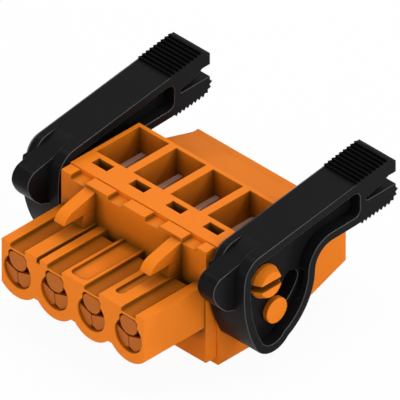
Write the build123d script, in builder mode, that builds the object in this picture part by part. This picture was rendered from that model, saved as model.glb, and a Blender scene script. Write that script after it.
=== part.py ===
# A four-pole female power plug for board headers: two moulded housings that meet at a seam,
# a sprung socket contact and a spring clamp for each pole, and a release lever at each end.
# Millimetres. +X runs along the poles, -Y is the mating side, +Z is up.
# The origin is the centre of the flat foot that the plug stands on.

from build123d import *
from math import atan, atan2, cos, degrees, radians, sin, sqrt
import os

# Poles
poles = 4
pitch = 7.62

# Clamp housing outline; drops are measured down from the roof, lengths back from the seam
body_height = 21.1
foot_length = 11.4
roof_length = 14.2
body_length = 26.4
rear_step = 3.8
rear_ledge = 1.1
rear_top_drop = 7.2
rear_bottom_drop = 15.45
axis_drop = 10.4

# Front shell and the towers on it
shell_thickness = 2.2
shell_inset = 0.32
shell_drop = 19.8
seam_groove = 0.2
tower_length = 12.55
tower_inset = 0.54
tower_radius = 4.5
web_drop = 3.0
mouth_radius = 2.78
mouth_recess = 0.95
notch_width = 3.7
notch_height = 3.45
notch_corner = 0.5

# Key slots in the tower tops, the latch holes behind them and the three coding grooves
key_width = 3.0
key_depth = 0.6
latch_hole_length = 1.2
slit_width = 0.66
slit_depth = 0.85
slit_offset = 0.45
trough_width = 3.5
trough_depth = 0.45
trough_setback = 1.05
trough_corner = 0.9
keyway_width = 1.5
keyway_depth = 0.45
keyway_setback = 2.25
keyway_offset = -0.6
keyway_corner = 0.7

# Gaps in the top edge of the shell, and the two latch fins
gap_width = 3.1
gap_depth = 0.77
fin_thickness = 2.15
fin_offset = 8.85
fin_reach = 6.55
fin_root_drop = 0.55
fin_base_drop = 3.5
fin_shoulder_reach = 4.7
fin_shoulder_drop = 1.75

# Windows, test holes and wire entries of the clamp housing
window_width = 6.12
window_start = 4.7
window_length = 8.8
chamber_floor_drop = 15.3
test_hole_width = 3.1
test_hole_start = 2.15
test_hole_length = 1.6
passage_height = 2.6
passage_side = 0.3
wire_drop = 10.9
wire_radius = 2.7
wire_throat_radius = 2.2
wire_bore_length = 9.5
wire_lead_in = 0.3

# Dowels that locate the contact housing on the clamp housing
dowel_radius = 1.0
dowel_length = 2.5
dowel_drop = 17.3
dowel_clearance = 0.05

# Socket contacts
contact_sheet = 0.6
contact_gap = 0.8
contact_gap_drop = 1.0
lip_clearance = 0.1
tongue_setback = 0.3
tongue_reach = 0.4
tongue_corner = 1.0
tongue_turn = 0.9
petal_setback = 0.4
petal_lean = 0.9
petal_slit = 0.15
petal_notch_width = 1.2
petal_notch_height = 0.9
throat = 2.0
leaf_straight = 4.2
hairpin_reach = 9.4
hairpin_rise = 0.75
tail_end_gap = 0.75
joggle_back = 1.9
joggle_front = 1.2

# Steel clips round the two leaves of each contact
clip_sheet = 0.3
clip_length = 3.4
clip_setback = 0.3
clip_clearance = 0.03
clip_corner = 0.5
clip_slit = 0.5
chamber_room = 0.1

# Clamp frames and clamp springs
frame_sheet = 0.8
frame_clearance = 0.06
frame_end_gap = 0.2
frame_slot = 2.9
frame_top_drop = 4.2
frame_corner = 0.6
frame_seat = 0.1
spring_sheet = 0.4
spring_bend = 1.1
spring_knee = 1.2
frame_side_gap = 0.05
spring_end_gap = 0.6
spring_tip_gap = 0.2

# Levers; the pivot is measured back from the seam and down from the roof
pivot_back = 3.5
pivot_drop = 4.7
side_gap = 0.12
lever_thickness = 7.6
web_thickness = 3.4
rim_width = 1.4
recess_overrun = 0.68
recess_round = 1.2
edge_bevel = 0.8
bevel_angle = 45.0
arm_front = (-2.56, 6.27)
arm_length = 17.46
arm_rise = 0.147
arm_root = (12.3, 1.9)
arm_low_rise = 0.029
head_corner = (-5.6, 3.2)
head_front = (-3.1, -10.2)
head_chin = (0.1, -11.95)
head_heel = (3.3, -10.6)
head_back = (7.2, -7.0)
head_nape = (8.9, -1.6)
nose_top = [(-0.3, 6.6), (-2.67, 5.62), (-8.5, 4.25)]
nose_tip = [(-9.75, 3.2), (-9.9, 1.35)]
nose_heel = [(-7.2, -2.15), (-4.6, -3.1)]

# Grips and fork, measured from the arm's lower edge at the end of its length
tooth_pitch = 0.77
top_teeth = 9
top_tooth_base = 0.1
top_tooth_height = 0.36
low_tooth_height = 0.5
fork_length = 8.04
fork_corner = 1.66
fork_low_edge = 3.45
fork_curve = [(4.44, 4.56), (6.54, 5.55)]
fork_root = (2.24, 3.7)
fork_gap = 0.62
fork_high_edge = 7.53
low_grip_start = (0.74, 0.07)
low_grip_slope = 0.094
low_grip_top = 2.75

# Pivot pin and guide peg on each end wall, and the curved slot that runs over the peg
pin_radius = 1.9
pin_clearance = 0.06
head_radius = 2.7
head_face_radius = 2.05
head_height = 1.9
head_edge = 0.6
head_play = 0.1
pin_slit = 1.1
pin_slit_depth = 4.6
peg_radius = 1.4
peg_head_radius = 2.1
peg_head_height = 0.9
peg_circle = 6.4
peg_angle = -71.3
swing = 45.0
slot_clearance = 0.1
swing_play = 1.0

pole_row = [(number - (poles - 1) / 2) * pitch for number in range(poles)]
boundaries = [x + pitch / 2 for x in pole_row[:-1]]
body_width = poles * pitch
seam = -foot_length / 2
mouth = -shell_thickness - tower_length
window_end = window_start + window_length
tail_bottom_drop = chamber_floor_drop - frame_seat - frame_sheet
frame_width = window_width - 2 * frame_clearance
frame_floor = frame_width - 2 * frame_sheet
tail_width = frame_floor - 2 * frame_side_gap
lever_middle = body_width / 2 + side_gap + lever_thickness / 2


def side_plane(x=0.0):
    # Outlines seen from +X: back from the seam, up from the roof.
    return Plane(origin=(x, seam, body_height), x_dir=(0, 1, 0), z_dir=(1, 0, 0))


def front_plane(back=0.0):
    # Sections seen from the mating side, about the row of socket axes.
    return Plane(origin=(0, seam + back, body_height - axis_drop), x_dir=(1, 0, 0), z_dir=(0, -1, 0))


def plan_plane(drop=0.0):
    # Plans seen from above, back from the seam.
    return Plane(origin=(0, seam, body_height - drop), x_dir=(1, 0, 0), z_dir=(0, 0, 1))


def write_part(part, name):
    part.label = name
    export_step(part, os.path.join("parts", name + ".step"))


def make_contact_housing():
    shell_width = body_width - 2 * shell_inset
    tower_width = body_width - 2 * tower_inset
    tower_top_drop = axis_drop - tower_radius
    poles_in_row = [(x, 0) for x in pole_row]
    with BuildPart() as housing:
        # Shell that covers the seam face of the clamp housing
        with BuildSketch(front_plane()):
            with Locations((0, axis_drop - shell_drop / 2)):
                Rectangle(shell_width, shell_drop)
        extrude(amount=shell_thickness)
        # Row of towers: round below, flat on top and joined by webs
        with BuildSketch(front_plane(-shell_thickness)):
            with Locations((0, (tower_radius - web_drop) / 2)):
                Rectangle(tower_width, tower_radius + web_drop)
            with Locations(*poles_in_row):
                Circle(tower_radius)
            Rectangle(tower_width, 2 * tower_radius, mode=Mode.INTERSECT)
        extrude(amount=tower_length)
        # Chambers for the contacts, and the wider pockets behind them in the shell
        with BuildSketch(front_plane(-shell_thickness)):
            with Locations(*poles_in_row):
                Circle(mouth_radius)
        extrude(amount=tower_length, mode=Mode.SUBTRACT)
        pocket_top = mouth_radius
        pocket_bottom = axis_drop - chamber_floor_drop + frame_sheet - frame_seat
        with BuildSketch(front_plane()):
            with Locations(*[(x, (pocket_top + pocket_bottom) / 2) for x in pole_row]):
                Rectangle(tail_width + 2 * passage_side, pocket_top - pocket_bottom)
        extrude(amount=shell_thickness, mode=Mode.SUBTRACT)
        # Square notch over each mouth
        with BuildSketch(front_plane(mouth)) as notches:
            with Locations(*[(x, notch_height / 2) for x in pole_row]):
                Rectangle(notch_width, notch_height)
            chamfer(notches.vertices().group_by(Axis.Y)[-1], notch_corner)
        extrude(amount=-mouth_recess, mode=Mode.SUBTRACT)
        # Key slots along the tower tops, and the holes that the contacts latch in
        with BuildSketch(plan_plane(tower_top_drop)):
            with Locations(*[(x, mouth + tower_length / 2) for x in pole_row]):
                Rectangle(key_width, tower_length)
        extrude(amount=-key_depth, mode=Mode.SUBTRACT)
        with BuildSketch(plan_plane(tower_top_drop)):
            with Locations(*[(x, -shell_thickness - latch_hole_length / 2) for x in pole_row]):
                Rectangle(key_width, latch_hole_length)
        extrude(amount=-tower_radius, mode=Mode.SUBTRACT)
        # Coding grooves between the towers: a slit, a trough and a keyway, no two alike
        with BuildSketch(plan_plane(tower_top_drop)):
            with Locations((boundaries[0] + slit_offset, mouth + tower_length / 2)):
                Rectangle(slit_width, tower_length)
        extrude(amount=-slit_depth, mode=Mode.SUBTRACT)
        grooves = ((boundaries[len(boundaries) // 2], trough_width, trough_setback, trough_depth,
                    trough_corner),
                   (boundaries[-1] + keyway_offset, keyway_width, keyway_setback, keyway_depth,
                    keyway_corner))
        for x, width, setback, depth, corner in grooves:
            length = tower_length - setback
            with BuildSketch(plan_plane(tower_top_drop)) as groove:
                with Locations((x, -shell_thickness - length / 2)):
                    Rectangle(width, length)
                fillet(groove.vertices().group_by(Axis.Y)[0], corner)
            extrude(amount=-depth, mode=Mode.SUBTRACT)
        # Shallow gaps in the top edge of the shell, one over each pole
        with BuildSketch(front_plane()):
            with Locations(*[(x, axis_drop) for x in pole_row]):
                Rectangle(gap_width, 2 * gap_depth)
        extrude(amount=shell_thickness, mode=Mode.SUBTRACT)
        # Rebate that shows as the seam along the top
        with BuildSketch(side_plane()):
            Rectangle(2 * seam_groove, 2 * seam_groove)
        extrude(amount=body_width / 2, both=True, mode=Mode.SUBTRACT)
        # Latch fins, which stand clear of the tower tops
        for x in (-fin_offset, fin_offset):
            with BuildSketch(side_plane(x)):
                with BuildLine():
                    root = (-shell_thickness, -fin_root_drop)
                    shoulder = (-shell_thickness - fin_shoulder_reach, -fin_shoulder_drop)
                    tip = (-shell_thickness - fin_reach, -fin_base_drop)
                    slope = Line(root, shoulder)
                    TangentArc(shoulder, tip, tangent=slope % 1)
                    Polyline(tip, (-shell_thickness, -fin_base_drop), root)
                make_face()
            extrude(amount=fin_thickness / 2, both=True)
        # Dowels on the seam face
        with BuildSketch(front_plane()):
            with Locations(*[(x, axis_drop - dowel_drop) for x in (boundaries[0], boundaries[-1])]):
                Circle(dowel_radius)
        extrude(amount=-dowel_length)
    write_part(housing.part, "contact_housing")


def make_clamp_housing():
    wire_height = axis_drop - wire_drop
    bore_end = body_length - wire_bore_length
    wires = [(x, wire_height) for x in pole_row]
    with BuildPart() as housing:
        with BuildSketch(side_plane()):
            with BuildLine():
                Polyline((0, 0), (roof_length, 0), (roof_length, -rear_step),
                         (body_length - rear_ledge, -rear_top_drop),
                         (body_length, -rear_top_drop), (body_length, -rear_bottom_drop),
                         (foot_length, -body_height), (0, -body_height), close=True)
            make_face()
        extrude(amount=body_width / 2, both=True)
        # Clamp chambers, open to the roof as windows
        with BuildSketch(plan_plane()):
            with Locations(*[(x, window_start + window_length / 2) for x in pole_row]):
                Rectangle(window_width, window_length)
        extrude(amount=-chamber_floor_drop, mode=Mode.SUBTRACT)
        # Passages for the contact tails, from the seam into the chambers
        passage_bottom = axis_drop - chamber_floor_drop + frame_sheet - frame_seat
        passage_top = passage_bottom + passage_height
        with BuildSketch(front_plane()):
            with Locations(*[(x, (passage_bottom + passage_top) / 2) for x in pole_row]):
                Rectangle(tail_width + 2 * passage_side, passage_height)
        extrude(amount=-window_start, mode=Mode.SUBTRACT)
        # Test holes, from the roof down to the passages
        with BuildSketch(plan_plane()):
            with Locations(*[(x, test_hole_start + test_hole_length / 2) for x in pole_row]):
                Rectangle(test_hole_width, test_hole_length)
        extrude(amount=passage_top - axis_drop, mode=Mode.SUBTRACT)
        # Wire entries: a bore from the rear face, then a funnel that narrows into the chamber
        with BuildSketch(front_plane(body_length)):
            with Locations(*wires):
                Circle(wire_radius)
        extrude(amount=wire_bore_length, mode=Mode.SUBTRACT)
        funnel = bore_end - window_end
        with BuildSketch(front_plane(bore_end)):
            with Locations(*wires):
                Circle(wire_radius)
        extrude(amount=funnel, mode=Mode.SUBTRACT,
                taper=degrees(atan2(wire_radius - wire_throat_radius, funnel)))
        rear_face = housing.faces().sort_by(Axis.Y)[-1]
        chamfer(rear_face.edges().filter_by(GeomType.CIRCLE), wire_lead_in)
        # Holes for the dowels of the contact housing
        with BuildSketch(front_plane()):
            with Locations(*[(x, axis_drop - dowel_drop) for x in (boundaries[0], boundaries[-1])]):
                Circle(dowel_radius + dowel_clearance)
        extrude(amount=-(dowel_length + dowel_clearance), mode=Mode.SUBTRACT)
        # Split pivot pin and headed guide peg on each end wall, turned about their own axes
        seat = side_gap + (lever_thickness + web_thickness) / 2 + head_play
        peg_back = pivot_back + peg_circle * cos(radians(peg_angle))
        peg_drop = pivot_drop - peg_circle * sin(radians(peg_angle))
        for side in (-1, 1):
            wall = side * body_width / 2
            pin = Plane(origin=(wall, seam + pivot_back, body_height - pivot_drop),
                        x_dir=(side, 0, 0), z_dir=(0, -1, 0))
            with BuildSketch(pin):
                with BuildLine():
                    Polyline((0, 0), (0, pin_radius), (seat, pin_radius), (seat, head_radius),
                             (seat + head_edge, head_radius), (seat + head_height, head_face_radius),
                             (seat + head_height, 0), close=True)
                make_face()
            revolve(axis=Axis(pin.origin, (side, 0, 0)))
            peg = Plane(origin=(wall, seam + peg_back, body_height - peg_drop),
                        x_dir=(side, 0, 0), z_dir=(0, -1, 0))
            with BuildSketch(peg):
                with BuildLine():
                    Polyline((0, 0), (0, peg_radius), (seat, peg_radius), (seat, peg_head_radius),
                             (seat + peg_head_height, peg_head_radius), (seat + peg_head_height, 0),
                             close=True)
                make_face()
            revolve(axis=Axis(peg.origin, (side, 0, 0)))
            # Slit that lets the pivot's head spring through the lever
            with BuildSketch(pin):
                with Locations((seat + head_height - pin_slit_depth / 2, 0)):
                    Rectangle(pin_slit_depth, pin_slit)
            extrude(amount=head_radius, both=True, mode=Mode.SUBTRACT)
    write_part(housing.part, "clamp_housing")


def make_socket_contact(x, name):
    # Folded from one strip: lips that fill the mouth, two leaves, a hairpin and a tail.
    section = Plane(origin=(x, seam + mouth, body_height - axis_drop), x_dir=(0, 1, 0),
                    z_dir=(1, 0, 0))
    across = Plane(origin=(x, seam + mouth, body_height - axis_drop), x_dir=(1, 0, 0),
                   z_dir=(0, -1, 0))
    upper = contact_gap / 2 - contact_gap_drop
    lower = -contact_gap / 2 - contact_gap_drop
    lip = mouth_radius - lip_clearance
    tail_height = axis_drop - tail_bottom_drop + contact_sheet / 2
    tongue_width = notch_width - 2 * lip_clearance
    tongue_middle = tongue_reach + tongue_width / 2
    petal_top = lower - petal_lean * contact_sheet
    with BuildPart() as contact:
        # Petals that flare out to the wall of the mouth, with a slit between them
        with BuildSketch(section):
            with BuildLine():
                Polyline((petal_setback, -lip), (petal_setback + petal_lean, petal_top),
                         (petal_setback + petal_lean + contact_sheet, lower),
                         (throat, lower), (throat, lower - contact_sheet),
                         (petal_setback + petal_lean + contact_sheet, lower - contact_sheet),
                         (petal_setback + contact_sheet, -lip), close=True)
            make_face()
        extrude(amount=lip, both=True)
        with BuildSketch(across):
            Circle(lip)
        extrude(amount=-throat - contact_sheet, mode=Mode.INTERSECT)
        with BuildSketch(across):
            Rectangle(petal_slit, 2 * lip)
            with BuildLine():
                Polyline((-petal_notch_width / 2, -mouth_radius), (petal_notch_width / 2, -mouth_radius),
                         (0, petal_notch_height - lip), close=True)
            make_face()
        extrude(amount=-throat, mode=Mode.SUBTRACT)
        # Tongue that stands in the notch, round at its lower end, and its turn into the upper leaf
        with BuildSketch(across.offset(-tongue_setback)) as tongue:
            with BuildLine():
                half, top = tongue_width / 2, notch_height - lip_clearance
                Polyline((-half, tongue_middle), (-half, top), (half, top), (half, tongue_middle))
                ThreePointArc((half, tongue_middle), (0, tongue_reach), (-half, tongue_middle))
            make_face()
            fillet(tongue.vertices().group_by(Axis.Y)[-1], tongue_corner)
        extrude(amount=-contact_sheet)
        with BuildSketch(section):
            with BuildLine() as turn:
                Polyline((tongue_setback + contact_sheet / 2, tongue_middle),
                         (tongue_setback + contact_sheet / 2, tongue_reach + contact_sheet / 2),
                         (throat, upper + contact_sheet / 2),
                         (throat + contact_sheet, upper + contact_sheet / 2))
            trace(turn.line, contact_sheet)
        extrude(amount=tongue_turn, both=True)
        # Leaves and hairpin
        with BuildSketch(section):
            with BuildLine() as leaves:
                bow = Polyline((throat, upper + contact_sheet / 2),
                               (throat + leaf_straight, upper + contact_sheet / 2),
                               (throat + hairpin_reach, hairpin_rise))
                bend = TangentArc(bow @ 1, (throat + hairpin_reach, lower - contact_sheet / 2),
                                  tangent=bow % 1)
                Line(bend @ 1, (throat, lower - contact_sheet / 2))
            trace(leaves.line, contact_sheet)
        extrude(amount=leaf_width() / 2, both=True)
        # Tail: narrow at the hairpin, full width from the joggle to its end in the clamp frame
        joggle = [(-mouth - joggle_back, lower - contact_sheet / 2),
                  (-mouth + joggle_front, tail_height)]
        tail_end = (window_end - mouth - tail_end_gap, tail_height)
        with BuildSketch(section):
            with BuildLine() as tail:
                Polyline((throat + hairpin_reach - joggle_front, joggle[0][1]), *joggle, tail_end)
            trace(tail.line, contact_sheet)
        extrude(amount=leaf_width() / 2, both=True)
        with BuildSketch(section):
            with BuildLine():
                Line(joggle[1], tail_end)
            trace(line_width=contact_sheet)
        extrude(amount=tail_width / 2, both=True)
    write_part(contact.part, name)


def clip_drops():
    # Heights of the clip's outer faces about the socket axis.
    wrap = contact_gap / 2 + contact_sheet + clip_clearance + clip_sheet
    return wrap - contact_gap_drop, -wrap - contact_gap_drop


def clip_half_width():
    # The clip's rounded lower corners stay clear of the round chamber by the chamber room.
    corner_depth = -clip_drops()[1] - clip_corner
    reach = mouth_radius - chamber_room - clip_corner
    return clip_corner + sqrt(reach ** 2 - corner_depth ** 2)


def leaf_width():
    # The leaves fill the flat of the clip, between its rounded corners.
    return 2 * (clip_half_width() - clip_corner)


def make_contact_clip(x, name):
    upper, lower = clip_drops()
    width = 2 * clip_half_width()
    height = upper - lower
    start = mouth + throat + contact_sheet + clip_setback
    with BuildPart() as clip:
        with BuildSketch(front_plane(start)) as band:
            with Locations((x, (upper + lower) / 2)):
                Rectangle(width, height)
                chamfer(band.vertices(), clip_corner)
                Rectangle(width - 2 * clip_sheet, height - 2 * clip_sheet, mode=Mode.SUBTRACT)
            with Locations((x, upper)):
                Rectangle(clip_slit, 3 * clip_sheet, mode=Mode.SUBTRACT)
        extrude(amount=-clip_length)
    write_part(clip.part, name)


def make_clamp_frame(x, name):
    # One strip folded to a C; its slot lies under the window.
    top = axis_drop - frame_top_drop
    bottom = axis_drop - chamber_floor_drop + frame_seat
    with BuildPart() as frame:
        with BuildSketch(front_plane(window_end - frame_end_gap)) as strip:
            with Locations((x, (top + bottom) / 2)):
                Rectangle(frame_width, top - bottom)
                chamfer(strip.vertices(), frame_corner)
                Rectangle(frame_width - 2 * frame_sheet, top - bottom - 2 * frame_sheet,
                          mode=Mode.SUBTRACT)
            with Locations((x, top)):
                Rectangle(frame_slot, 3 * frame_sheet, mode=Mode.SUBTRACT)
        extrude(amount=window_length - 2 * frame_end_gap)
    write_part(frame.part, name)


def make_clamp_spring(x, name):
    # A leaf under the flanges of the frame, bent round at the rear and down onto the tail.
    seat = -(frame_top_drop + frame_sheet + spring_sheet / 2)
    rear = window_end - spring_end_gap - spring_bend - spring_sheet / 2
    tip = (window_start + 2 * spring_end_gap,
           -tail_bottom_drop + contact_sheet + spring_tip_gap + spring_sheet / 2)
    with BuildPart() as spring:
        with BuildSketch(side_plane(x)):
            with BuildLine() as leaf:
                rest = Line((window_start + spring_end_gap, seat), (rear, seat))
                bend = TangentArc(rest @ 1, (rear, seat - 2 * spring_bend), tangent=rest % 1)
                knee = Line(bend @ 1, bend @ 1 - Vector(spring_knee, 0))
                Line(knee @ 1, tip)
            trace(leaf.line, spring_sheet)
        extrude(amount=tail_width / 2, both=True)
    write_part(spring.part, name)


def toothed(path, count, height, lean):
    # Corners of a row of teeth that stand on the left of a path; lean shifts their tips along it.
    corners = []
    for number in range(count):
        peak = (number + lean) / count
        along = path % peak
        corners += [path @ (number / count), path @ peak + Vector(-along.Y, along.X) * height]
    return corners + [path @ 1]


def arm_top(back):
    return back, arm_front[1] + arm_rise * (back - arm_front[0])


def arm_low(back):
    return back, arm_root[1] + arm_low_rise * (back - arm_root[0])


def head_outline(back):
    # The drop-shaped head and as much of the arm as reaches back from the pivot.
    edge = Line(arm_top(back), arm_front)
    corner = TangentArc(edge @ 1, head_corner, tangent=edge % 1)
    TangentArc(corner @ 1, head_front, tangent=corner % 1)
    ThreePointArc(head_front, head_chin, head_heel)
    rear = ThreePointArc(head_heel, head_back, head_nape)
    TangentArc(head_nape, arm_root, tangent=rear % 1)
    Line(arm_root, arm_low(back))


def make_lever(side, name):
    middle = Plane(origin=(side * lever_middle, seam + pivot_back, body_height - pivot_drop),
                   x_dir=(0, 1, 0), z_dir=(1, 0, 0))
    base = Vector(*arm_low(arm_length))
    grip_start = Vector(*arm_top(arm_length)) + Vector(0, top_tooth_base)
    grip_end = grip_start + Vector(1, arm_rise) * (top_teeth * tooth_pitch)
    with BuildLine() as top_grip:
        Line(grip_start, grip_end)
    with BuildLine() as low_grip:
        side_edge = Line(base + Vector(fork_length, low_grip_top),
                         base + Vector(fork_length, low_grip_top - tooth_pitch / 2))
        corner_end = side_edge @ 1 - Vector(fork_corner * (1 - low_grip_slope), fork_corner)
        TangentArc(side_edge @ 1, corner_end, tangent=side_edge % 1)
        Line(corner_end, base + Vector(*low_grip_start))
    low_edge = low_grip.wire()
    head_sweep = CenterArc((0, 0), peg_circle, peg_angle, swing)
    peg_sweep = CenterArc((0, 0), peg_circle, peg_angle - swing_play, swing + 2 * swing_play)
    low_teeth = round(low_edge.length / tooth_pitch)
    with BuildPart() as lever:
        # Head, arm and fork with its grips
        with BuildSketch(middle):
            with BuildLine():
                head_outline(arm_length)
                Polyline(arm_top(arm_length),
                         *toothed(top_grip.wire(), top_teeth, top_tooth_height, 0),
                         base + Vector(fork_length, fork_high_edge),
                         *toothed(low_edge, low_teeth, low_tooth_height, 0.5), arm_low(arm_length))
            make_face()
        extrude(amount=lever_thickness / 2, both=True)
        # Gap between the prongs of the fork
        with BuildSketch(middle):
            with BuildLine():
                root = base + Vector(*fork_root)
                root_low, root_top = root - Vector(0, fork_gap / 2), root + Vector(0, fork_gap / 2)
                curve = [base + Vector(*point) for point in fork_curve]
                far = fork_length + low_tooth_height * 2
                ThreePointArc(root_low, root - Vector(fork_gap / 2, 0), root_top)
                Polyline(root_top, *curve, base + Vector(far, fork_curve[-1][1]),
                         base + Vector(far, fork_low_edge), root_low)
            make_face()
        extrude(amount=lever_thickness / 2, both=True, mode=Mode.SUBTRACT)
        # Recess in both faces, which leaves a rim round the web
        for face in (-1, 1):
            with BuildSketch(middle.offset(face * lever_thickness / 2)) as recess:
                with BuildLine():
                    back = arm_length + recess_overrun + rim_width
                    head_outline(back)
                    Line(arm_low(back), arm_top(back))
                make_face()
                offset(amount=-rim_width, mode=Mode.REPLACE)
                fillet(recess.vertices().group_by(Axis.X)[-1], recess_round)
            extrude(amount=-face * (lever_thickness - web_thickness) / 2, mode=Mode.SUBTRACT)
        # Room under the outer rim for the head of the guide peg along its sweep
        with BuildSketch(middle.offset(side * web_thickness / 2)):
            SlotArc(head_sweep, 2 * (peg_head_radius + slot_clearance))
        extrude(amount=side * (peg_head_height + 2 * head_play), mode=Mode.SUBTRACT)
        # Bevel along the top of the left face, which the teeth of the grip stop short of
        with BuildSketch(middle.offset(-lever_thickness / 2)):
            with BuildLine():
                inward = Vector(sin(atan(arm_rise)), -cos(atan(arm_rise))) * edge_bevel
                rear = Vector(*arm_top(arm_length + 2 * fork_length))
                edge = Line(rear + inward, Vector(*arm_front) + inward)
                low_end = Vector(*head_corner) + Vector(edge_bevel, 0)
                TangentArc(edge @ 1, low_end, tangent=edge % 1)
                Polyline(low_end, low_end - Vector(fork_length, 0),
                         low_end + Vector(-fork_length, fork_length), rear + Vector(0, fork_length),
                         rear + inward)
            make_face()
        extrude(amount=edge_bevel, taper=bevel_angle, mode=Mode.SUBTRACT)
        # The web's edge falls away between the flanges, in line with the nose
        with BuildSketch(middle):
            with BuildLine():
                (front, _), (rear, height) = nose_top[-1], nose_top[0]
                Polyline(*nose_top, (front, height + web_thickness), (rear, height + web_thickness),
                         close=True)
            make_face()
        extrude(amount=web_thickness / 2, both=True, mode=Mode.SUBTRACT)
        # Nose that draws the plug onto its header
        with BuildSketch(middle):
            with BuildLine():
                Polyline((0, 0), *nose_top)
                tip = ThreePointArc(nose_top[-1], *nose_tip)
                TangentArc(nose_tip[-1], nose_heel[0], tangent=tip % 1)
                Polyline(*nose_heel, (0, 0))
            make_face()
        extrude(amount=web_thickness / 2, both=True)
        # Pivot bore, and the curved slot over the guide peg
        with BuildSketch(middle):
            Circle(pin_radius + pin_clearance)
            SlotArc(peg_sweep, 2 * (peg_radius + slot_clearance))
        extrude(amount=lever_thickness / 2, both=True, mode=Mode.SUBTRACT)
    write_part(lever.part, name)


os.makedirs("parts", exist_ok=True)
make_contact_housing()
make_clamp_housing()
for number, x in enumerate(pole_row, start=1):
    make_socket_contact(x, f"socket_contact_{number}")
    make_contact_clip(x, f"contact_clip_{number}")
    make_clamp_frame(x, f"clamp_frame_{number}")
    make_clamp_spring(x, f"clamp_spring_{number}")
make_lever(-1, "lever_left")
make_lever(1, "lever_right")
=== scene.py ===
from math import radians

import bmesh
import bpy
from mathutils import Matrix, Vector


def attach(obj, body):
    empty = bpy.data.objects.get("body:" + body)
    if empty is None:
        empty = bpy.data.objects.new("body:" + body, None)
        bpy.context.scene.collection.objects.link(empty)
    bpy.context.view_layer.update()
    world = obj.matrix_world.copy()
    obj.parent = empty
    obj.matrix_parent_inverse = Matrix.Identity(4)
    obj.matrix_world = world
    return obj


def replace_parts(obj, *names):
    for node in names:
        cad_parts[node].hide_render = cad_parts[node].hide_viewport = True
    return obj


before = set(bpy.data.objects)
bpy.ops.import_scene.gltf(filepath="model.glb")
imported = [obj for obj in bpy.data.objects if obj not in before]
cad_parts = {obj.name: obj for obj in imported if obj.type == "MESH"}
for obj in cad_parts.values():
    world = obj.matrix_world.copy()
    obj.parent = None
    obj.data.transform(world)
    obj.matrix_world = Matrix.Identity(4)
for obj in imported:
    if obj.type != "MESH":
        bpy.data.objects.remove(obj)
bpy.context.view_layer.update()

MM = 0.001


# Shader expressions

class Socket:
    """A node's output. Sums with it add Math nodes to the finish that it belongs to."""

    def __init__(self, finish, output):
        self.finish, self.output = finish, output

    def maths(self, operation, first, second):
        return self.finish.node("ShaderNodeMath", {"operation": operation}, {0: first, 1: second})

    def __add__(self, other):
        return self.maths("ADD", self, other)

    def __radd__(self, other):
        return self.maths("ADD", other, self)

    def __mul__(self, other):
        return self.maths("MULTIPLY", self, other)

    def __pow__(self, other):
        return self.maths("POWER", self, other)


class Finish:
    """One procedural material, built on a Principled shader."""

    def __init__(self, name, **fixed):
        self.material = bpy.data.materials.new(name)
        self.material.use_nodes = True
        self.tree = self.material.node_tree
        self.shader = self.tree.nodes["Principled BSDF"]
        for socket, value in fixed.items():
            self.shader.inputs[socket.replace("_", " ")].default_value = value

    def node(self, kind, settings=None, inputs=None, output=0):
        made = self.tree.nodes.new(kind)
        for name, value in (settings or {}).items():
            setattr(made, name, value)
        for name, value in (inputs or {}).items():
            if isinstance(value, Socket):
                self.tree.links.new(value.output, made.inputs[name])
            else:
                made.inputs[name].default_value = value
        return Socket(self, made.outputs[output])

    def feed(self, name, value):
        self.tree.links.new(value.output, self.shader.inputs[name])

    def noise(self, size, detail, roughness=0.5, stretch=None):
        """Noise fixed to the piece, with features of a given size, drawn out where stretch is low."""
        place = self.node("ShaderNodeTexCoord", output="Object")
        if stretch:
            place = self.node("ShaderNodeMapping", inputs={"Vector": place, "Scale": stretch})
        return self.node("ShaderNodeTexNoise", inputs={"Vector": place, "Scale": 1 / size,
                                                       "Detail": detail, "Roughness": roughness})

    def blend(self, mask, low, high):
        return self.node("ShaderNodeMix", {"data_type": "RGBA"}, {0: mask, 6: low, 7: high}, output=2)

    def openness(self, reach):
        """Near 1 out in the open, and lower where the piece's own walls stand within reach."""
        return self.node("ShaderNodeAmbientOcclusion", {"samples": OPENNESS_SAMPLES, "only_local": True},
                         {"Distance": reach}, output="AO")

    def relief(self, height, depth, strength):
        self.feed("Normal", self.node("ShaderNodeBump", inputs={"Height": height, "Distance": depth,
                                                                "Strength": strength}))


# Finishes

PLASTIC_IOR = 1.52
CLOUD, FLECK, STREAK = 6 * MM, 0.5 * MM, 2.2 * MM
STREAK_STRETCH = (1.0, 0.18, 0.5)
# Reach and strength of the painted shade in corners and in deep chambers
CORNER_REACH, CORNER_SHADE = 2.0 * MM, 2.2
CHAMBER_REACH, CHAMBER_SHADE = 9 * MM, 0.9
OPENNESS_SAMPLES = 12
GRAIN_DEPTH = 0.012 * MM

ROLLING_LINE, TARNISH = 0.08 * MM, 1.3 * MM
ROLLING_STRETCH = (1.0, 0.06, 1.0)
ROLLING_DEPTH = 0.006 * MM


def moulded(name, colour, shade, grain, rough, gloss, painted_shade=None):
    """Injection-moulded plastic: spark-eroded grain, soft clouding and faint flow streaks, and, where a shade
    colour is given, painted shade in its corners and chambers.
    """
    finish = Finish(name, Roughness=rough, IOR=PLASTIC_IOR, Specular_IOR_Level=gloss)
    cloud = finish.noise(CLOUD, 3.0, 0.55)
    fleck = finish.noise(FLECK, 2.0, 0.6)
    streak = finish.noise(STREAK, 2.0, stretch=STREAK_STRETCH)
    body = finish.blend(cloud * 0.55 + streak * 0.3 + fleck * 0.15, shade, colour)
    # Painted shade: the base colour darkens towards the shade colour where the piece's own walls close in, in
    # corners and chambers
    if painted_shade:
        open_corner = finish.openness(CORNER_REACH) ** CORNER_SHADE
        open_chamber = finish.openness(CHAMBER_REACH) ** CHAMBER_SHADE
        body = finish.blend(open_corner * open_chamber, painted_shade, body)
    finish.feed("Base Color", body)
    finish.feed("Roughness", rough - 0.06 + fleck * 0.12)
    finish.relief(finish.noise(grain, 3.0, 0.7) + fleck * 0.6, GRAIN_DEPTH, 0.55)
    return finish.material


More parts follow.
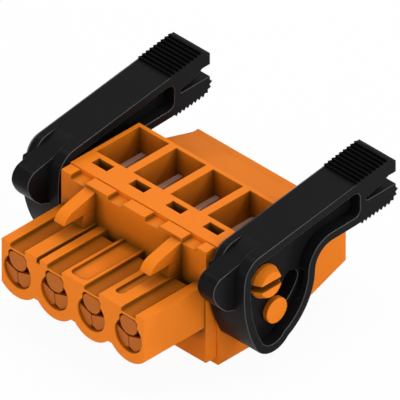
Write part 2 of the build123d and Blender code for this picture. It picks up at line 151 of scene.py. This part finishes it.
def strip_metal(name, colour, shade, rough, metallic, gloss=0.5):
    """Stamped strip: fine rolling lines, a mottled tarnish and a soft sheen."""
    finish = Finish(name, Metallic=metallic, Specular_IOR_Level=gloss)
    rolled = finish.noise(ROLLING_LINE, 3.0, stretch=ROLLING_STRETCH)
    tarnish = finish.noise(TARNISH, 4.0, 0.6)
    finish.feed("Base Color", finish.blend(tarnish, shade, colour))
    finish.feed("Roughness", rough - 0.08 + rolled * 0.1 + tarnish * 0.1)
    finish.relief(rolled, ROLLING_DEPTH, 0.5)
    return finish.material


# Colour of the painted shade in the housing's corners and chambers
ORANGE_PAINTED_SHADE = (0.15, 0.052, 0.003, 1.0)
housing_orange = moulded("housing orange", (0.86, 0.218, 0.012, 1.0), (0.80, 0.194, 0.010, 1.0),
                         grain=0.16 * MM, rough=0.48, gloss=0.06, painted_shade=ORANGE_PAINTED_SHADE)
# Darker orange on the key slot floors: painted shade, as the plastic there is the same orange
key_slot_shaded_orange = moulded("key slot painted shade", (0.50, 0.120, 0.007, 1.0), (0.42, 0.100, 0.006, 1.0),
                          grain=0.16 * MM, rough=0.52, gloss=0.04, painted_shade=ORANGE_PAINTED_SHADE)
lever_black = moulded("lever black", (0.0100, 0.0100, 0.0104, 1.0), (0.0075, 0.0075, 0.0078, 1.0),
                      grain=0.14 * MM, rough=0.32, gloss=0.03)
# Lighter black on the rounded lever edges: a painted highlight along the edges
lever_edge_highlight = moulded("lever edge painted highlight", (0.060, 0.060, 0.061, 1.0), (0.034, 0.034, 0.035, 1.0),
                     grain=0.10 * MM, rough=0.34, gloss=0.3)
grip_black = moulded("ribbed grip black", (0.0030, 0.0030, 0.0030, 1.0), (0.0020, 0.0020, 0.0020, 1.0),
                     grain=0.12 * MM, rough=0.55, gloss=0.03)
# The contact's orange-brown tone is partly the metal's own copper tone and partly a painted reflection of the
# orange housing round the mouths
contact_metal = strip_metal("contact metal with painted orange reflection", (0.52, 0.136, 0.010, 1.0), (0.44, 0.110, 0.008, 1.0),
                            rough=0.46, metallic=0.4, gloss=0.15)
frame_metal = strip_metal("clamp frame strip", (0.62, 0.42, 0.32, 1.0), (0.50, 0.32, 0.24, 1.0),
                          rough=0.42, metallic=0.7)
spring_steel = strip_metal("spring steel strip", (0.60, 0.53, 0.47, 1.0), (0.46, 0.40, 0.35, 1.0),
                           rough=0.34, metallic=0.8)


# Shapes

WELD, FLAT = 0.0005 * MM, radians(0.6)
SMOOTH_BELOW, BROKEN_ABOVE = radians(22), radians(32)
EDGE_STEPS = 2
SAME_FINISH = -1
FLAT_FACE_WEIGHT = 70


def add_object(name, data):
    held = bpy.data.objects.new(name, data)
    bpy.context.scene.collection.objects.link(held)
    return held


def settle(name, shape):
    """Turns a working shape into a mesh."""
    mesh = bpy.data.meshes.new(name)
    shape.to_mesh(mesh)
    shape.free()
    return mesh


def grow(shape, faces, vector):
    """Extrudes faces by a vector, and returns the new corners."""
    grown = bmesh.ops.extrude_face_region(shape, geom=faces)["geom"]
    far = [part for part in grown if isinstance(part, bmesh.types.BMVert)]
    bmesh.ops.translate(shape, verts=far, vec=vector)
    return far


def round_lines(shape, lines, offset, steps, clamp=True, finish=SAME_FINISH):
    """Rounds edges. Clamped, no edge takes more than its faces can give."""
    bmesh.ops.bevel(shape, geom=lines, offset=offset, offset_type="OFFSET", segments=steps, profile=0.5,
                    affect="EDGES", clamp_overlap=clamp, material=finish)


def break_edges(shape, edge, edge_highlight, keep):
    """Rounds the outer edges of a shape, apart from those that keep() names."""
    for line in shape.edges:
        line.smooth = line.calc_face_angle(0.0) < SMOOTH_BELOW
    outer = [line for line in shape.edges
             if line.calc_face_angle(0.0) > BROKEN_ABOVE and line.is_convex and not (keep and keep(line))]
    # The rounded edges take the given edge finish, which on the levers is a painted highlight
    round_lines(shape, outer, edge, EDGE_STEPS, clamp=False, finish=edge_highlight)


def add_piece(name, shape, finishes, body):
    """Turns a finished shape into a piece at the origin that rides with its body."""
    for face in shape.faces:
        face.smooth = True
    mesh = settle(name, shape)
    for finish in finishes:
        mesh.materials.append(finish)
    piece = add_object(name, mesh)
    flat = piece.modifiers.new("flat faces", "WEIGHTED_NORMAL")
    flat.keep_sharp = True
    flat.weight = FLAT_FACE_WEIGHT
    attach(piece, body)
    return piece


def dress(node, body, finishes, edge, edge_highlight=SAME_FINISH, sort=None, keep=None, refine=None):
    """The CAD node's shape with its edges broken, in its moulded or stamped finishes."""
    shape = bmesh.new()
    shape.from_mesh(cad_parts[node].data)
    bmesh.ops.remove_doubles(shape, verts=shape.verts, dist=WELD)
    bmesh.ops.dissolve_limit(shape, angle_limit=FLAT, verts=shape.verts, edges=shape.edges)
    for face in shape.faces:
        face.material_index = sort(face) if sort else 0
    if refine:
        refine(shape)
    break_edges(shape, edge, edge_highlight, keep)
    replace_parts(add_piece("dressed_" + node, shape, finishes, body), node)


# Levers

LEVER_FINISHES = (lever_black, lever_edge_highlight, grip_black)
LEVER_BODY, LEVER_EDGE_HIGHLIGHT, LEVER_GRIP = range(3)
LEVER_BREAK = 0.10 * MM
GRIP_START, GRIP_FLOOR = 14.7 * MM, 24.3 * MM
NOSE_STEP, NOSE_STEP_REACH, NOSE_STEP_FLOOR = -2.6 * MM, 0.6 * MM, 22.3 * MM


def ribbed(point):
    return point.y > GRIP_START and point.z > GRIP_FLOOR


def lever_finish(face):
    """The ribs on top of the arm's end are the blackest part of a lever, but not its sides or its end."""
    on_ribs = ribbed(face.calc_center_median()) and abs(face.normal.x) < 0.5 and face.normal.y < 0.9
    return LEVER_GRIP if on_ribs else LEVER_BODY


def left_sharp(line):
    """The ribs, and the step where the nose meets the top of the arm."""
    ends = [end.co for end in line.verts]
    return (all(ribbed(end) for end in ends)
            or all(abs(end.y - NOSE_STEP) < NOSE_STEP_REACH and end.z > NOSE_STEP_FLOOR for end in ends))


for side in ("left", "right"):
    dress("lever_" + side, side + "_lever", LEVER_FINISHES, LEVER_BREAK,
          edge_highlight=LEVER_EDGE_HIGHLIGHT, sort=lever_finish, keep=left_sharp)


# Housings

HOUSING_BREAK = 0.09 * MM
HOUSING_BODY, HOUSING_KEY_SLOT_SHADE = range(2)
KEY_SLOT_LOW, KEY_SLOT_HIGH = 14.5 * MM, 14.7 * MM
FIN_LEFT, FIN_RIGHT = 7.775 * MM, 9.925 * MM
FIN_UNDERSIDE, TOWER_TOP = 17.6 * MM, 15.2 * MM
SHELL_FRONT, WEB_FRONT = -7.9 * MM, -10.4 * MM
SINK = 0.02 * MM


def key_slot_shade(face):
    """The floors of the key slots take a darker orange than the tower tops: painted shade for the slots'
    depth.
    """
    middle = face.calc_center_median()
    on_floor = face.normal.z > 0.9 and KEY_SLOT_LOW < middle.z < KEY_SLOT_HIGH and middle.y < SHELL_FRONT
    return HOUSING_KEY_SLOT_SHADE if on_floor else HOUSING_BODY


def fin_webs(shape):
    """Adds the web that closes the corner under each latch fin, against the shell."""
    low, high = TOWER_TOP - SINK, FIN_UNDERSIDE + SINK
    back = SHELL_FRONT + SINK
    for left, right in ((FIN_LEFT, FIN_RIGHT), (-FIN_RIGHT, -FIN_LEFT)):
        corners = [shape.verts.new((left + SINK, along, height)) for along, height in
                   ((back, low), (WEB_FRONT, low), (WEB_FRONT, high), (back, high))]
        web = bmesh.ops.contextual_create(shape, geom=corners)["faces"]
        far = grow(shape, web, (right - left - 2 * SINK, 0, 0))
        faces = {face for corner in corners + far for face in corner.link_faces}
        bmesh.ops.recalc_face_normals(shape, faces=list(faces))


dress("contact_housing", "plug", [housing_orange, key_slot_shaded_orange], HOUSING_BREAK,
      sort=key_slot_shade, refine=fin_webs)
dress("clamp_housing", "plug", [housing_orange], HOUSING_BREAK)


# Metal

CONTACT_BREAK, FRAME_BREAK, SPRING_BREAK = 0.03 * MM, 0.05 * MM, 0.04 * MM
POLES = (-11.43 * MM, -3.81 * MM, 3.81 * MM, 11.43 * MM)
MOUTH, MOUTH_HEIGHT, MOUTH_RADIUS = -20.45 * MM, 10.7 * MM, 2.78 * MM

TONGUE_DEPTH, TONGUE_FLOOR = 0.95 * MM, 0.3 * MM
TONGUE_SHIFT = (0, -0.18 * MM, -0.1 * MM)
TONGUE_FACE = MOUTH + 0.12 * MM
TONGUE_RIM, TONGUE_RIM_STEPS = 0.26 * MM, 4
RIM_ABOVE, RIM_DEPTH = radians(45), 0.01 * MM

LIP_CLEARANCE, LIP_SEGMENTS = 0.12 * MM, 56
LIP_THICKNESS, LIP_RIM, LIP_RIM_STEPS = 0.6 * MM, 0.42 * MM, 5
LIP_SET_BACK, LIP_BEND, LIP_LEAN, LIP_MIDDLE = 0.80 * MM, 0.05 / MM, 0.12, -1.4 * MM
# Where the right lip's plane is cut, in millimetres, and which way is outward: slit, top and bottom
LIP_CUTS = (((0.06, 0, 0), (-1, 0, 0)), ((0, -0.02, 0), (-0.25, 1, 0)), ((0.06, -1.95, 0), (-0.55, -0.83, 0)))


def lip(side):
    """The lip on one side of the slit (1 is right), as a flat disc cut to shape in its own plane."""
    shape = bmesh.new()
    bmesh.ops.create_circle(shape, cap_ends=True, radius=MOUTH_RADIUS - LIP_CLEARANCE, segments=LIP_SEGMENTS)
    mirror = Vector((side, 1, 1))
    for place, outward in LIP_CUTS:
        bmesh.ops.bisect_plane(shape, geom=shape.verts[:] + shape.edges[:] + shape.faces[:], dist=0.001 * MM,
                               plane_co=Vector(place) * mirror * MM, plane_no=Vector(outward) * mirror,
                               clear_outer=True)
    grow(shape, shape.faces[:], (0, 0, LIP_THICKNESS))
    bmesh.ops.recalc_face_normals(shape, faces=shape.faces)
    rim = [line for line in shape.edges if all(end.co.z > LIP_THICKNESS - 0.1 * MM for end in line.verts)]
    round_lines(shape, rim, LIP_RIM, LIP_RIM_STEPS)
    return shape


def contact_front(middle):
    """Brings the tongue close to the mouth, rounds it, and adds the two lips that stand below it."""
    def refine(shape):
        tongue = [point for point in shape.verts
                  if point.co.y < MOUTH + TONGUE_DEPTH and point.co.z > MOUTH_HEIGHT + TONGUE_FLOOR]
        bmesh.ops.translate(shape, verts=tongue, vec=TONGUE_SHIFT)
        rim = [line for line in shape.edges if line.calc_face_angle(0.0) > RIM_ABOVE
               and all(abs(end.co.y - TONGUE_FACE) < RIM_DEPTH for end in line.verts)]
        round_lines(shape, rim, TONGUE_RIM, TONGUE_RIM_STEPS)
        for side in (-1, 1):
            half = lip(side)
            # The lip's own plane turns to face out of the mouth, and its outer side leans back
            for point in half.verts:
                across, up, out = point.co
                back = LIP_SET_BACK + LIP_BEND * across * across - LIP_LEAN * (up - LIP_MIDDLE)
                point.co = (middle + across, MOUTH + back - out, MOUTH_HEIGHT + up)
            bmesh.ops.recalc_face_normals(half, faces=half.faces)
            made = settle("lip", half)
            shape.from_mesh(made)
            bpy.data.meshes.remove(made)
    return refine


for pole, middle in zip("1234", POLES):
    dress("socket_contact_" + pole, "plug", [contact_metal], CONTACT_BREAK,
          refine=contact_front(middle))
    dress("clamp_frame_" + pole, "plug", [frame_metal], FRAME_BREAK)
    dress("clamp_spring_" + pole, "plug", [spring_steel], SPRING_BREAK)
    dress("contact_clip_" + pole, "plug", [spring_steel], SPRING_BREAK)


# Studio

WHITE = (1.0, 1.0, 1.0, 1.0)
PAPER = (0.86, 0.86, 0.86, 1.0)
FLOOR_REACH = 0.6
SEEN_WHITE, REFLECTED_WHITE = 0.95, 0.5
LIT_PLACE = Vector((0.0, 0.004, 0.012))

# Each lamp's name, place in metres, diameter in metres and power in watts
LAMPS = (
    ("sky lamp", (0.06, 0.00, 0.42), 0.34, 0.76),
    ("crown lamp", (-0.26, -0.015, 0.38), 0.12, 0.24),
    ("rear lamp", (-0.30, 0.31, 0.27), 0.34, 0.45),
    ("right lamp", (0.42, -0.04, 0.16), 0.30, 0.76),
    ("front lamp", (-0.06, -0.43, 0.12), 0.34, 0.75),
    ("edge lamp", (0.25, 0.25, 0.27), 0.07, 0.40),
)
ROOM_LIGHT = 0.22

VIEW_WIDTH = 0.05832
VIEW_AIM = Vector((0.404, 5.420, 16.577)) * MM
VIEW_OUTWARD = Vector((1.0, -1.0, 1.0)).normalized()
VIEW_DISTANCE, NEAREST, FURTHEST = 0.3, 0.01, 2.0


def studio_floor():
    """Pale paper that shows almost white to the camera and half as white in reflections."""
    shape = bmesh.new()
    bmesh.ops.create_grid(shape, x_segments=1, y_segments=1, size=FLOOR_REACH)
    floor = add_object("studio_floor", settle("studio floor", shape))
    paper = Finish("pale paper", Roughness=0.9, Base_Color=PAPER)
    path = paper.tree.nodes.new("ShaderNodeLightPath")
    glow = paper.node("ShaderNodeEmission", inputs={"Color": WHITE, "Strength": 1.0})
    mixed = paper.tree.nodes.new("ShaderNodeMixShader")
    seen = (Socket(paper, path.outputs["Is Camera Ray"]) * SEEN_WHITE
            + Socket(paper, path.outputs["Is Glossy Ray"]) * REFLECTED_WHITE
            + Socket(paper, path.outputs["Is Transmission Ray"]) * REFLECTED_WHITE)
    paper.tree.links.new(seen.output, mixed.inputs[0])
    paper.tree.links.new(paper.shader.outputs[0], mixed.inputs[1])
    paper.tree.links.new(glow.output, mixed.inputs[2])
    paper.tree.links.new(mixed.outputs[0], paper.tree.nodes["Material Output"].inputs["Surface"])
    floor.data.materials.append(paper.material)


def turned(direction):
    """The rotation of a lamp or camera that looks along a direction."""
    return direction.to_track_quat("-Z", "Y").to_euler()


def lamp(name, place, size, watts):
    light = bpy.data.lights.new(name, "AREA")
    light.shape = "DISK"
    light.size = size
    light.energy = watts
    held = add_object(name, light)
    held.location = place
    held.rotation_euler = turned(LIT_PLACE - Vector(place))


studio_floor()
for settings in LAMPS:
    lamp(*settings)

world = bpy.data.worlds.new("pale room")
bpy.context.scene.world = world
world.use_nodes = True
background = world.node_tree.nodes["Background"]
background.inputs["Color"].default_value = WHITE
background.inputs["Strength"].default_value = ROOM_LIGHT
bpy.context.scene.view_settings.view_transform = "Standard"

# The camera looks along an isometric axis, from the right, the mating side and above
camera = bpy.data.cameras.new("camera")
camera.type = "ORTHO"
camera.ortho_scale = VIEW_WIDTH
camera.clip_start, camera.clip_end = NEAREST, FURTHEST
viewer = add_object("camera", camera)
viewer.location = VIEW_AIM + VIEW_OUTWARD * VIEW_DISTANCE
viewer.rotation_euler = turned(-VIEW_OUTWARD)
bpy.context.scene.camera = viewer
